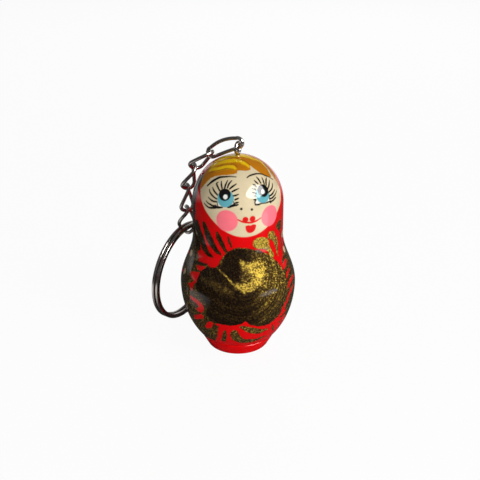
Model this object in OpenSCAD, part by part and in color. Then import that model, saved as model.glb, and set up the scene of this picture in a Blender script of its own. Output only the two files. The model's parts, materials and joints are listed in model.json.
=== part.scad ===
// Nesting doll on a key ring: two hollow turned dolls and a solid one inside
// each other, with a screw eye, a curb chain and a split ring on the largest.
// Origin at the centre of the foot, +Z up, the painted face towards -Y.

/* [Doll] */
// Height of the outer doll, without its screw eye
doll_h = 60; // [54:1:72]
// Diameter of the widest part of the belly
belly_d = 34.4; // [32:0.2:40]
// Height of the widest part of the belly
belly_z = 21; // [18:0.5:23]
// Diameter of the straight sides of the head
head_d = 26.6; // [24:0.2:30]
// Height where the shoulders run into the head
shoulder_z = 36.5; // [33:0.5:42]
// Height of the dome that closes the head
dome_h = 14; // [11:0.5:17]
// Diameter of the plinth at its top
plinth_d = 22; // [19:0.2:24]
// Height of the plinth
plinth_h = 4; // [3:0.1:5]
// Diameter of the flat that the doll stands on
foot_d = 17.4; // [15:0.2:19]
// Bevel around the foot
foot_bevel = 0.5; // [0.2:0.1:1]
// Depth of the groove between plinth and belly
groove = 0.3; // [0.2:0.05:0.6]

/* [Turned joint] */
// Height of the parting line of the outer doll
part_z = 24; // [23:0.5:26]
// Height of the outer doll's spigot
spigot_h = 4.5; // [3.5:0.1:5.5]
// Thickness of the outer doll's spigot
spigot_t = 1.3; // [1:0.1:1.8]
// Wall of the outer doll around its spigot
socket_wall = 1.4; // [1:0.1:2]
// Thickness of the outer doll's floor
floor_t = 5.5; // [5:0.1:7]
// Height of the middle doll's spigot
mid_spigot_h = 3.2; // [2.5:0.1:4]
// Thickness of the middle doll's spigot
mid_spigot_t = 1; // [0.8:0.1:1.4]
// Wall of the middle doll around its spigot
mid_socket_wall = 1; // [0.8:0.1:1.4]
// Thickness of the middle doll's floor
mid_floor_t = 4; // [3.5:0.1:5]
// Radial clearance between a spigot and its socket
fit_gap = 0.15; // [0.1:0.01:0.25]
// Clearance above a spigot, inside its socket
seat_gap = 0.3; // [0.2:0.05:0.5]
// Clearance around each doll inside the next
nest_gap = 0.4; // [0.3:0.05:0.8]
// Bevel on the rim of a spigot
rim_bevel = 0.3; // [0.1:0.05:0.5]

/* [Screw eye] */
// Wire of the screw eye
eye_wire = 1.1; // [0.9:0.05:1.4]
// Play of the loop's wire in the hole of the eye
eye_play = 0.4; // [0.35:0.05:0.7]
// Diameter of the screwed shank
shank_d = 1.3; // [1.1:0.05:1.8]
// Length of the shank inside the head
shank_l = 7; // [5:0.5:9]
// Height of the eye above the head
eye_lift = 0.1; // [0.05:0.05:0.5]
// Clearance around the shank in its pilot hole
pilot_gap = 0.05; // [0.02:0.01:0.1]

/* [Chain] */
// Direction in which the chain hangs, from +X
drape_turn = 146; // [0:1:360]
// Wire of the oval loop and of the chain links
wire = 1.1; // [1:0.05:1.3]
// Length of the oval loop between its two seats
loop_run = 8.8; // [8:0.1:10]
// Play between the loop's round end and the wire of the eye
loop_play = 0.3; // [0.25:0.05:0.5]
// Outward bow of the loop's upper run
loop_bow = 0.8; // [0:0.1:1.2]
// Inward bow of the loop's lower run
loop_dip = 0.1; // [0:0.1:0.3]
// Length of a chain link over its wire
link_l = 9.4; // [9:0.05:10.5]
// Play between two hooked links
link_play = 0.2; // [0.15:0.01:0.3]
// Clearance between the chain and the head that it lies on
lie_gap = 0.25; // [0.2:0.05:0.5]
// Steepest fall of a link, where the chain hangs free
free_fall = 88; // [85:1:90]

/* [Split ring] */
// Outside diameter of the split ring
ring_d = 31; // [26:0.5:34]
// Turn of the ring away from the direction in which the chain hangs
ring_turn = -10; // [-15:1:15]
// Radial width of its flat wire
coil_w = 1.4; // [1.2:0.1:1.8]
// Thickness of its flat wire
coil_t = 0.9; // [0.8:0.05:1.1]
// Gap between its two turns
coil_gap = 0.42; // [0.41:0.01:0.6]
// Bevel on the corners of its wire
coil_bevel = 0.25; // [0.1:0.05:0.35]
// Play between the ring and the last link's lower end
ring_play = 0.7; // [0.65:0.05:0.9]
// Clearance between the hanging ring and the widest part of the belly
ring_gap = 0.4; // [0.3:0.05:0.8]
// Play of the ring between the sides of a link
side_play = 0.65; // [0.6:0.05:0.9]
// Arc over which one turn steps across to the other
step_arc = 34; // [25:1:45]
// Arc left open between the step and the wire's ends
end_arc = 4; // [3:1:8]

/* [Hidden] */
$fn = 96;
overrun = 0.2;
skin_n = 14;
arc_n = 12;
run_n = 8;
wire_sides = 10;
turn_n = 60;

belly_r = belly_d / 2;
head_r = head_d / 2;
plinth_r = plinth_d / 2;
foot_r = foot_d / 2;
dome_z = doll_h - dome_h;

// The lower belly is part of an ellipse that meets the plinth's top edge,
// the shoulders are half a cosine wave, and the dome is half an ellipse.
belly_drop = (belly_z - plinth_h) / sqrt(1 - pow(plinth_r / belly_r, 2));
function belly_skin(z) = belly_r * sqrt(1 - pow((belly_z - z) / belly_drop, 2));
function shoulder_share(z) = (1 + cos(180 * (z - belly_z) / (shoulder_z - belly_z))) / 2;
function shoulder_skin(z) = head_r + (belly_r - head_r) * shoulder_share(z);
function dome_skin(z) = head_r * sqrt(max(0, 1 - pow((z - dome_z) / dome_h, 2)));
function skin_r(z) =
    z < belly_z ? belly_skin(z) :
    z < shoulder_z ? shoulder_skin(z) :
    z < dome_z ? head_r : dome_skin(z);

// Each doll is the same turned form, at a scale that lets it out of the mouth
// of the next one. A doll is its scale and the height of its foot.
function socket_r(scale, rise, wall) = scale * skin_r(part_z + rise / scale) - wall;
outer_socket_r = socket_r(1, spigot_h, socket_wall);
outer_mouth_r = outer_socket_r - fit_gap - spigot_t;
mid_scale = (outer_mouth_r - nest_gap) / belly_r;
mid_z = floor_t;
mid_socket_r = socket_r(mid_scale, mid_spigot_h, mid_socket_wall);
mid_mouth_r = mid_socket_r - fit_gap - mid_spigot_t;
inner_scale = (mid_mouth_r - nest_gap) / belly_r;
inner_z = mid_z + mid_floor_t;

function at(doll, z) = doll[1] + doll[0] * z;
function skin_point(doll, z, gap = 0) = [doll[0] * skin_r(z) + gap, at(doll, z)];
outer_doll_at = [1, 0];
mid_doll_at = [mid_scale, mid_z];
inner_doll_at = [inner_scale, inner_z];

function foot_points(doll) = [
    for (p = [
        [0, 0],
        [foot_r, 0],
        [foot_r + foot_bevel, foot_bevel],
        [plinth_r, plinth_h - groove],
        [plinth_r - groove, plinth_h]
    ]) [doll[0] * p[0], at(doll, p[1])]
];
function belly_points(doll, top) = [
    for (i = [0 : skin_n])
        let (low = plinth_h + groove)
        skin_point(doll, low + (top - low) * i / skin_n)
];
// Down the outside of a doll's crown, from its top to the height "low"
function crown_points(doll, low, gap = 0) = concat(
    [[0, at(doll, doll_h) + gap]],
    [for (i = [1 : skin_n])
        let (t = 90 * (1 - i / skin_n))
        [(doll[0] * head_r + gap) * cos(t), at(doll, dome_z) + (doll[0] * dome_h + gap) * sin(t)]],
    [for (i = [0 : skin_n])
        let (z = shoulder_z + (low - shoulder_z) * i / skin_n)
        skin_point(doll, z, gap)]
);
// Room for the lower half of a doll, from its belly down to the floor
function pocket_points(doll, gap) = concat(
    [for (i = [0 : skin_n])
        let (z = belly_z + (plinth_h - belly_z) * i / skin_n)
        skin_point(doll, z, gap)],
    [[doll[0] * plinth_r + gap, at(doll, 0)], [0, at(doll, 0)]]
);

module turned(points) {
    rotate_extrude() polygon(points);
}

module lower_half(doll, inside, socket, mouth, rise) {
    part = at(doll, part_z);
    rim = part + rise - seat_gap;
    turned(concat(
        foot_points(doll),
        belly_points(doll, part_z),
        [
            [socket - fit_gap, part],
            [socket - fit_gap, rim - rim_bevel],
            [socket - fit_gap - rim_bevel, rim],
            [mouth, rim]
        ],
        pocket_points(inside, mouth - inside[0] * belly_r)
    ));
}

module upper_half(doll, inside, socket, rise) {
    ceiling = at(doll, part_z) + rise;
    low = (ceiling - inside[1]) / inside[0];
    room = crown_points(inside, low, nest_gap);
    turned(concat(
        crown_points(doll, part_z),
        [
            [socket, at(doll, part_z)],
            [socket, ceiling]
        ],
        [for (i = [len(room) - 1 : -1 : 0]) room[i]]
    ));
}

module outer_lower() {
    color("firebrick")
        lower_half(outer_doll_at, mid_doll_at, outer_socket_r, outer_mouth_r, spigot_h);
}

module outer_upper() {
    color("crimson") difference() {
        upper_half(outer_doll_at, mid_doll_at, outer_socket_r, spigot_h);
        translate([0, 0, doll_h - shank_l - seat_gap])
            cylinder(d = shank_d + 2 * pilot_gap, h = shank_l + seat_gap + overrun);
    }
}

module middle_lower() {
    color("darkred")
        lower_half(mid_doll_at, inner_doll_at, mid_socket_r, mid_mouth_r, mid_spigot_h);
}

module middle_upper() {
    color("indianred")
        upper_half(mid_doll_at, inner_doll_at, mid_socket_r, mid_spigot_h);
}

module inner_doll() {
    crown = crown_points(inner_doll_at, part_z);
    color("goldenrod") turned(concat(
        foot_points(inner_doll_at),
        belly_points(inner_doll_at, part_z),
        [for (i = [len(crown) - 2 : -1 : 0]) crown[i]]
    ));
}

// The eye stands across the chain, with its lowest wire just over the head.
eye_hole = wire + 2 * eye_play;
eye_r = (eye_hole + eye_wire) / 2;
eye_z = doll_h + eye_lift + eye_wire / 2 + eye_r;
tip_l = shank_d;

module screw_eye() {
    color("dimgray") {
        translate([0, 0, eye_z]) rotate([0, 0, drape_turn]) rotate([0, 90, 0])
            rotate_extrude() translate([eye_r, 0]) circle(d = eye_wire);
        translate([0, 0, doll_h - shank_l + tip_l])
            cylinder(d = shank_d, h = shank_l - tip_l + eye_lift + eye_wire / 2);
        translate([0, 0, doll_h - shank_l])
            cylinder(d1 = 0, d2 = shank_d, h = tip_l);
    }
}

// Seats of the chain in its plane, as [distance from the axis, height]. The loop
// turns around the top of the eye. Loop and links lie as low as the head lets
// them, and hang free below it.
ring_t = 2 * coil_t + coil_gap;
link_w = ring_t + 2 * side_play + 2 * wire;
link_end_r = (link_w - wire) / 2;
link_reach = (link_l - wire) / 2;
loop_end_r = (eye_wire + wire) / 2 + loop_play;
hook = (wire + link_play) / 2;
lay_share = 0.95;
loop_off = loop_end_r + wire / 2 + lie_gap;
link_off = link_end_r * lay_share + wire / 2 + lie_gap;

flare_share = sqrt(1 + pow(PI / 2 * (belly_r - head_r) / (shoulder_z - belly_z), 2));
function along(from, fall, run) = from + run * [cos(fall), -sin(fall)];
function outside(p, off) =
    p[1] > dome_z
        ? pow(p[0] / (head_r + off), 2) + pow((p[1] - dome_z) / (dome_h + off), 2) > 1
        : p[0] > skin_r(p[1]) + off * (p[1] < shoulder_z ? flare_share : 1);
function lie(from, run, off, low = 0, high = free_fall, tries = 24) =
    let (fall = (low + high) / 2)
    tries == 0 ? fall :
    outside(along(from, fall, run), off) ? lie(from, run, off, fall, high, tries - 1)
        : lie(from, run, off, low, fall, tries - 1);

link_pitch = link_l - wire - 2 * hook;
ring_hang = link_l - wire - hook - wire / 2 - ring_play - coil_w / 2;
loop_seat = [0, eye_z + eye_r];
loop_fall = lie(loop_seat, loop_run, loop_off);
link_seat_1 = along(loop_seat, loop_fall, loop_run + loop_end_r - hook);
link_fall_1 = lie(link_seat_1, link_pitch, link_off);
link_seat_2 = along(link_seat_1, link_fall_1, link_pitch);
link_fall_2 = lie(link_seat_2, link_pitch, link_off);
link_seat_3 = along(link_seat_2, link_fall_2, link_pitch);
link_fall_3 = lie(link_seat_3, link_pitch, link_off);
link_seat_4 = along(link_seat_3, link_fall_3, link_pitch);
link_fall_4 = lie(link_seat_4, ring_hang, link_off);
ring_seat = along(link_seat_4, link_fall_4, ring_hang);
link_seats = [link_seat_1, link_seat_2, link_seat_3, link_seat_4];
link_falls = [link_fall_1, link_fall_2, link_fall_3, link_fall_4];

// Twist of each link's upper and lower end out of the plane across the chain: the
// first hooks flat into the loop, and the last takes the ring on edge and twists
// on past it.
past_ring = 20;
link_head_turns = [0, -45, -45, -45];
link_tail_turns = [45, 45, 45, 90 - ring_turn + past_ring];

// A link's outline in its own plane: two round ends and two runs that may bow
function link_outline(half, end_r, bow, dip) = concat(
    [for (i = [0 : arc_n])
        let (t = -90 + 180 * i / arc_n)
        [half + end_r * cos(t), end_r * sin(t)]],
    [for (i = [1 : run_n - 1])
        let (s = 1 - 2 * i / run_n)
        [half * s, end_r + bow * (1 - s * s)]],
    [for (i = [0 : arc_n])
        let (t = 90 + 180 * i / arc_n)
        [-half + end_r * cos(t), end_r * sin(t)]],
    [for (i = [1 : run_n - 1])
        let (s = 2 * i / run_n - 1)
        [half * s, -end_r + dip * (1 - s * s)]]
);

function unit(v) = v / norm(v);

// Round wire along a closed outline that twists from "head" to "tail" degrees
module twisted_wire(outline, reach, head, tail) {
    n = len(outline);
    turns = [for (p = outline) head + (tail - head) * (p[0] + reach) / (2 * reach)];
    path = [for (i = [0 : n - 1])
        let (p = outline[i], f = turns[i])
        [p[0], p[1] * cos(f), p[1] * sin(f)]];
    points = [for (i = [0 : n - 1])
        let (
            t = unit(path[(i + 1) % n] - path[(i + n - 1) % n]),
            flat = [0, -sin(turns[i]), cos(turns[i])],
            u = unit(flat - (flat * t) * t),
            v = cross(t, u)
        )
        for (j = [0 : wire_sides - 1])
            let (a = 360 * j / wire_sides)
            path[i] + wire / 2 * (cos(a) * u + sin(a) * v)];
    faces = [for (i = [0 : n - 1]) for (j = [0 : wire_sides - 1])
        let (
            a = i * wire_sides + j,
            b = i * wire_sides + (j + 1) % wire_sides,
            c = ((i + 1) % n) * wire_sides + (j + 1) % wire_sides,
            d = ((i + 1) % n) * wire_sides + j
        )
        each [[a, c, b], [a, d, c]]];
    polyhedron(points, faces);
}

module in_chain(seat, fall) {
    rotate([0, 0, drape_turn]) translate([seat[0], 0, seat[1]]) rotate([0, fall, 0]) children();
}

module oval_loop() {
    half = loop_run / 2;
    color("gray") in_chain(loop_seat, loop_fall) translate([half, 0, 0])
        twisted_wire(link_outline(half, loop_end_r, loop_bow, loop_dip), half + loop_end_r, 90, 90);
}

module chain_link(i) {
    outline = link_outline(link_reach - link_end_r, link_end_r, 0, 0);
    color("gray") in_chain(link_seats[i], link_falls[i]) translate([link_reach - hook, 0, 0])
        twisted_wire(outline, link_reach, link_head_turns[i], link_tail_turns[i]);
}

module chain_link_1() {
    chain_link(0);
}

module chain_link_2() {
    chain_link(1);
}

module chain_link_3() {
    chain_link(2);
}

module chain_link_4() {
    chain_link(3);
}

// The ring is one flat wire wound in two turns. The wire steps across from one
// turn to the other on the far side of the ring, between its own two ends.
ring_r = (ring_d - coil_w) / 2;
coil_pitch = coil_t + coil_gap;
wound_arc = 720 - step_arc - 2 * end_arc;
wound_n = round(wound_arc * turn_n / 360);
step_start = 360 - step_arc - end_arc;
function ease(s) = let (c = min(1, max(0, s))) c * c * (3 - 2 * c);
function wound_place(a) = [
    coil_pitch * (ease((a - step_start) / step_arc) - 1 / 2),
    ring_r * cos(a + 180 + end_arc),
    ring_r * sin(a + 180 + end_arc)
];
wound_angles = [for (i = [0 : wound_n]) wound_arc * i / wound_n];
wound_path = [for (a = wound_angles) wound_place(a)];
least_gap = min([for (i = [0 : wound_n]) for (j = [i + floor(turn_n / 2) : 1 : wound_n])
    norm(wound_path[i] - wound_path[j])]) - coil_t;
echo(least_gap_of_split_ring = least_gap);

// The ring leans out just so far that its wire clears the belly, also while the
// cap that it hangs from is lifted off.
lean_step = 0.5;
most_lean = 60;
function passing_r(z) = z < belly_z ? belly_r : skin_r(z);
function ring_room(lean, a, r, side) =
    let (
        down = ring_r - r * cos(a),
        across = r * sin(a),
        reach = down * sin(lean) + side * cos(lean),
        height = ring_seat[1] - down * cos(lean) + side * sin(lean)
    )
    norm([
        ring_seat[0] + reach * cos(ring_turn) - across * sin(ring_turn),
        reach * sin(ring_turn) + across * cos(ring_turn)
    ]) - passing_r(height);
function ring_clear(lean) = min([
    for (a = [0 : 10 : 350]) for (r = [ring_r - coil_w / 2, ring_r + coil_w / 2])
        for (side = [-ring_t, ring_t] / 2) ring_room(lean, a, r, side)
]) > ring_gap;
function find_lean(lean = 0) =
    lean > most_lean || ring_clear(lean) ? lean : find_lean(lean + lean_step);
ring_lean = find_lean();

module split_ring() {
    w = coil_w / 2;
    t = coil_t / 2;
    section = [
        [w, t - coil_bevel], [w - coil_bevel, t], [coil_bevel - w, t], [-w, t - coil_bevel],
        [-w, coil_bevel - t], [coil_bevel - w, -t], [w - coil_bevel, -t], [w, coil_bevel - t]
    ];
    m = len(section);
    points = [for (i = [0 : wound_n])
        let (p = wound_path[i], out = unit([0, p[1], p[2]]))
        for (s = section) p + s[0] * out + [s[1], 0, 0]];
    sides = [for (i = [0 : wound_n - 1]) for (j = [0 : m - 1])
        let (a = i * m + j, b = i * m + (j + 1) % m)
        each [[a, b + m, b], [a, a + m, b + m]]];
    first = [for (j = [1 : m - 2]) [0, j, j + 1]];
    last = [for (j = [1 : m - 2]) wound_n * m * [1, 1, 1] + [0, j + 1, j]];
    color("slategray") in_chain(ring_seat, 0) rotate([0, -ring_lean, ring_turn])
        translate([0, 0, -ring_r]) polyhedron(points, concat(sides, first, last));
}

echo(ring_lean = ring_lean);
echo(hinges = [for (s = concat([loop_seat], link_seats, [ring_seat]))
    [s[0] * cos(drape_turn), s[0] * sin(drape_turn), s[1]]]);

outer_lower();
outer_upper();
middle_lower();
middle_upper();
inner_doll();
screw_eye();
oval_loop();
chain_link_1();
chain_link_2();
chain_link_3();
chain_link_4();
split_ring();
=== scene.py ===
# Nesting doll on a key ring: painted turned halves, a curb chain and a split ring.
import json
import math

import bpy
import numpy as np
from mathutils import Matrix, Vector


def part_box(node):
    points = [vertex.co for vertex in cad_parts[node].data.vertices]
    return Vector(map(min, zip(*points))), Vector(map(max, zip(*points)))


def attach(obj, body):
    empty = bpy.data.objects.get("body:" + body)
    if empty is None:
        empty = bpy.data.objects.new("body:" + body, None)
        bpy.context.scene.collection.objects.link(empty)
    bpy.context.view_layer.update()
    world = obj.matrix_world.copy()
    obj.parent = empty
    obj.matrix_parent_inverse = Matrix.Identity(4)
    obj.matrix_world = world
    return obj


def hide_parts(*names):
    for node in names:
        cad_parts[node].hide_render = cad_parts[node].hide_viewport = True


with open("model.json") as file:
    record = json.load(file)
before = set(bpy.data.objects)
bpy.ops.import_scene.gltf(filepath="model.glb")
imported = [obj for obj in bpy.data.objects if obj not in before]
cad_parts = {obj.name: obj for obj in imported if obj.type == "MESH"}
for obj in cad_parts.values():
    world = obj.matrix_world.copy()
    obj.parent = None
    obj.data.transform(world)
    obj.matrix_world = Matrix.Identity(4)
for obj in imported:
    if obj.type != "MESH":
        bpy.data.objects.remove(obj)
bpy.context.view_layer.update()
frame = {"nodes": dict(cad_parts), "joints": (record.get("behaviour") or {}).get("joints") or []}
mm = 0.001
seats = {joint["name"]: np.array(joint["pos_m"]) / mm for joint in frame["joints"] if "pos_m" in joint}
print("frame loaded:", len(frame["nodes"]), "nodes")


# Surfaces

def addObject(name, data):
    made = bpy.data.objects.new(name, data)
    bpy.context.scene.collection.objects.link(made)
    return made


# rings[i, j] is point j of ring i; each ring is joined to the next, the last to the
# first, or with poles given both ends are drawn together in a point
def gridMesh(name, rings, poles=None, sharpAt=38):
    n, m = rings.shape[:2]
    i, j = np.meshgrid(np.arange(n if poles is None else n - 1), np.arange(m), indexing="ij")
    below, above, beside = i * m, (i + 1) % n * m, (j + 1) % m
    quads = np.stack([below + j, below + beside, above + beside, above + j], -1).reshape(-1, 4)
    points, fans = rings.reshape(-1, 3), np.empty((0, 3), int)
    if poles is not None:
        here, after = np.arange(m), (np.arange(m) + 1) % m
        first = np.stack([np.full(m, n * m), after, here], -1)
        last = np.stack([np.full(m, n * m + 1), (n - 1) * m + here, (n - 1) * m + after], -1)
        points, fans = np.concatenate([points, poles]), np.concatenate([first, last])
    corners = np.concatenate([quads.ravel(), fans.ravel()])
    starts = np.concatenate([np.arange(len(quads)) * 4, quads.size + np.arange(len(fans)) * 3])
    mesh = bpy.data.meshes.new(name)
    mesh.vertices.add(len(points))
    mesh.vertices.foreach_set("co", (points * mm).astype(np.float32).ravel())
    mesh.loops.add(len(corners))
    mesh.loops.foreach_set("vertex_index", corners.astype(np.int32))
    mesh.polygons.add(len(starts))
    mesh.polygons.foreach_set("loop_start", starts.astype(np.int32))
    mesh.polygons.foreach_set("use_smooth", np.ones(len(starts), bool))
    mesh.update(calc_edges=True)
    mesh.set_sharp_from_angle(angle=math.radians(sharpAt))
    return addObject(name, mesh)


def pointValues(piece, name, values):
    layer = piece.data.attributes.new(name, "FLOAT", "POINT")
    layer.data.foreach_set("value", np.asarray(values, np.float32))


def handOver(piece, node, body):
    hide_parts(node)
    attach(piece, body)


def smooth(t):
    t = np.clip(t, 0, 1)
    return t * t * (3 - 2 * t)


# Shader pieces

def addNode(tree, kind, **settings):
    made = tree.nodes.new(kind)
    for key, value in settings.items():
        setattr(made, key, value)
    return made


def plug(tree, value, socket):
    if isinstance(value, bpy.types.NodeSocket):
        tree.links.new(value, socket)
    else:
        socket.default_value = value


def maths(tree, operation, a, b=0.0, clamp=False):
    made = addNode(tree, "ShaderNodeMath", operation=operation, use_clamp=clamp)
    plug(tree, a, made.inputs[0])
    plug(tree, b, made.inputs[1])
    return made.outputs[0]


# Base plus factor times value
def raised(tree, base, value, factor, clamp=False):
    return maths(tree, "ADD", base, maths(tree, "MULTIPLY", value, factor), clamp)


def mixColour(tree, share, a, b):
    made = addNode(tree, "ShaderNodeMix", data_type="RGBA")
    for value, socket in ((share, 0), (a, 6), (b, 7)):
        plug(tree, value, made.inputs[socket])
    return made.outputs[2]


def stretched(tree, vector, size):
    made = addNode(tree, "ShaderNodeVectorMath", operation="MULTIPLY")
    plug(tree, vector, made.inputs[0])
    made.inputs[1].default_value = size
    return made.outputs[0]


def noise(tree, vector, scale, detail=2.0):
    made = addNode(tree, "ShaderNodeTexNoise")
    plug(tree, vector, made.inputs["Vector"])
    plug(tree, scale, made.inputs["Scale"])
    made.inputs["Detail"].default_value = detail
    return made.outputs["Fac"]


def objectPlace(tree):
    return addNode(tree, "ShaderNodeTexCoord").outputs["Object"]


def painted(tree, name):
    return addNode(tree, "ShaderNodeAttribute", attribute_name=name).outputs["Fac"]


def shaderGroup(name, inputs, outputs):
    tree = bpy.data.node_groups.new(name, "ShaderNodeTree")
    for label, kind, value in inputs:
        socket = tree.interface.new_socket(name=label, in_out="INPUT", socket_type=kind)
        if value is not None:
            socket.default_value = value
    for label in outputs:
        tree.interface.new_socket(name=label, in_out="OUTPUT", socket_type="NodeSocketFloat")
    return tree, addNode(tree, "NodeGroupInput").outputs, addNode(tree, "NodeGroupOutput").inputs


def useGroup(tree, group, **values):
    made = addNode(tree, "ShaderNodeGroup", node_tree=group)
    for label, value in values.items():
        plug(tree, value, made.inputs[label])
    return made.outputs


# Level rings left by the brush while the wood turns, about 1 in the middle
ringMarks = {"stretch": (90, 90, 1500), "detail": 3.0, "fineShare": 0.6, "broadScale": 140.0,
             "broadShare": 0.4}


def brushRings():
    p = ringMarks
    tree, given, out = shaderGroup("brush rings", [
        ("Place", "NodeSocketVector", None), ("Scale", "NodeSocketFloat", 1.0),
        ("Strength", "NodeSocketFloat", 0.1)], ["Shade", "Height"])
    fine = noise(tree, stretched(tree, given["Place"], p["stretch"]), given["Scale"], p["detail"])
    broad = noise(tree, given["Place"], p["broadScale"])
    both = raised(tree, maths(tree, "MULTIPLY", fine, p["fineShare"]), broad, p["broadShare"])
    swing = maths(tree, "MULTIPLY", maths(tree, "SUBTRACT", both, 0.5), given["Strength"])
    plug(tree, raised(tree, 1.0, swing, 2.0), out["Shade"])
    plug(tree, both, out["Height"])
    return tree


# Metal powder in paint: cells of the given size, each with its own chance of shining
powderDrift = {"scale": 900.0, "detail": 3.0}


def metalPowder():
    tree, given, out = shaderGroup("metal powder", [
        ("Place", "NodeSocketVector", None), ("Cells", "NodeSocketFloat", 5000.0)], ["Fleck", "Drift"])
    cells = addNode(tree, "ShaderNodeTexVoronoi", feature="F1")
    plug(tree, given["Place"], cells.inputs["Vector"])
    plug(tree, given["Cells"], cells.inputs["Scale"])
    split = addNode(tree, "ShaderNodeSeparateColor")
    plug(tree, cells.outputs["Color"], split.inputs[0])
    plug(tree, split.outputs[0], out["Fleck"])
    plug(tree, noise(tree, given["Place"], powderDrift["scale"], powderDrift["detail"]), out["Drift"])
    return tree


# Dulling where hands and neighbouring metal rub, 0 to 1
rubMarks = {"detail": 4.0, "power": 2.0, "grainScale": 2600.0}


def handlingMarks():
    p = rubMarks
    tree, given, out = shaderGroup("handling marks", [
        ("Place", "NodeSocketVector", None), ("Scale", "NodeSocketFloat", 200.0)], ["Dull", "Height"])
    dull = noise(tree, given["Place"], given["Scale"], p["detail"])
    plug(tree, maths(tree, "POWER", dull, p["power"]), out["Dull"])
    plug(tree, noise(tree, given["Place"], p["grainScale"]), out["Height"])
    return tree


ringsGroup, powderGroup, marksGroup = brushRings(), metalPowder(), handlingMarks()


def newMaterial(name):
    material = bpy.data.materials.new(name)
    material.use_nodes = True
    return material, material.node_tree, material.node_tree.nodes["Principled BSDF"]


# Relief given as a strength and a depth in metres
def addBump(tree, shader, height, relief):
    bump = addNode(tree, "ShaderNodeBump")
    bump.inputs["Strength"].default_value, bump.inputs["Distance"].default_value = relief
    plug(tree, height, bump.inputs["Height"])
    plug(tree, bump.outputs[0], shader.inputs["Normal"])


paintColours = {
    "ground": (0.70, 0.002, 0.003, 1), "face": (0.70, 0.585, 0.375, 1), "blush": (0.98, 0.19, 0.235, 1),
    "hair": (0.52, 0.18, 0.003, 1), "hairLight": (0.86, 0.54, 0.004, 1), "hairDark": (0.24, 0.06, 0.004, 1),
    "iris": (0.12, 0.40, 0.46, 1), "ink": (0.006, 0.005, 0.005, 1), "white": (0.85, 0.83, 0.78, 1),
    "lip": (0.70, 0.012, 0.012, 1), "dots": (0.74, 0.58, 0.36, 1),
    "bronze": ((0.0, (0.009, 0.004, 0.0015, 1)), (0.35, (0.054, 0.031, 0.007, 1)),
               (0.65, (0.17, 0.105, 0.02, 1)), (1.0, (0.58, 0.40, 0.05, 1))),
}
# Layers over the bronze, from the lowest up
overBronze = ["dots", "face", "blush", "hair", "hairLight", "hairDark", "white", "iris", "ink", "lip"]
# Pairs are a least value and what the marks or the gold's level add to it
lacquerLook = {"strokeScale": 1.0, "strokes": 0.10, "marks": 160.0, "fleckPower": 2.0, "fleckShare": 0.62,
               "driftShare": 0.4, "middle": 0.40, "reach": (0.4, 1.35), "metal": 0.16, "rough": (0.34, 0.25),
               "coatRough": 0.07, "coatIor": 1.38, "bronzeRise": 0.6, "strokeRise": 0.35,
               "relief": (0.25, 0.00008)}


# Paint layers under clear lacquer; each layer's share is held by the mesh
def lacquer(name, powderCells):
    p = lacquerLook
    material, tree, shader = newMaterial(name)
    place = objectPlace(tree)
    strokes = useGroup(tree, ringsGroup, Place=place, Scale=p["strokeScale"], Strength=p["strokes"])
    powder = useGroup(tree, powderGroup, Place=place, Cells=powderCells)
    marks = useGroup(tree, marksGroup, Place=place, Scale=p["marks"])
    bronze, level = painted(tree, "bronze"), painted(tree, "gilt")
    bright = maths(tree, "MULTIPLY", maths(tree, "POWER", powder["Fleck"], p["fleckPower"]), p["fleckShare"])
    spread = raised(tree, bright, powder["Drift"], p["driftShare"])
    reach = raised(tree, p["reach"][0], level, p["reach"][1])
    gilt = raised(tree, level, maths(tree, "SUBTRACT", spread, p["middle"]), reach, True)
    ramp = addNode(tree, "ShaderNodeValToRGB")
    while len(ramp.color_ramp.elements) < len(paintColours["bronze"]):
        ramp.color_ramp.elements.new(0.5)
    for element, (at, colour) in zip(ramp.color_ramp.elements, paintColours["bronze"]):
        element.position, element.color = at, colour
    plug(tree, gilt, ramp.inputs[0])
    colour = mixColour(tree, bronze, paintColours["ground"], ramp.outputs[0])
    for layer in overBronze:
        colour = mixColour(tree, painted(tree, layer), colour, paintColours[layer])
    shaded = addNode(tree, "ShaderNodeMix", data_type="RGBA", blend_type="MULTIPLY")
    shaded.inputs[0].default_value = 1.0
    plug(tree, colour, shaded.inputs[6])
    grey = addNode(tree, "ShaderNodeCombineColor")
    for socket in grey.inputs[:3]:
        plug(tree, strokes["Shade"], socket)
    plug(tree, grey.outputs[0], shaded.inputs[7])
    plug(tree, shaded.outputs[2], shader.inputs["Base Color"])
    shine = maths(tree, "MULTIPLY", bronze, gilt)
    plug(tree, maths(tree, "MULTIPLY", shine, p["metal"]), shader.inputs["Metallic"])
    plug(tree, raised(tree, p["rough"][0], marks["Dull"], p["rough"][1]), shader.inputs["Roughness"])
    shader.inputs["Specular IOR Level"].default_value = 0.0  # the clear coat alone mirrors
    shader.inputs["Coat Weight"].default_value = 1.0
    shader.inputs["Coat Roughness"].default_value = p["coatRough"]
    shader.inputs["Coat IOR"].default_value = p["coatIor"]
    thick = maths(tree, "MULTIPLY", bronze, p["bronzeRise"])
    addBump(tree, shader, raised(tree, thick, strokes["Height"], p["strokeRise"]), p["relief"])
    return material


# Bare linden: pale, with fibres up the piece and rings left by the turning tool
woodLook = {"ringScale": 1.6, "rings": 0.18, "fibreStretch": (1500, 1500, 90), "fibreDetail": 4.0,
            "fibreDark": (0.58, 0.38, 0.20, 1), "fibrePale": (0.80, 0.61, 0.39, 1), "ringFrom": 1.15,
            "ringDark": (0.45, 0.27, 0.13, 1), "rough": (0.55, 0.2), "relief": (0.4, 0.00015)}


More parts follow.
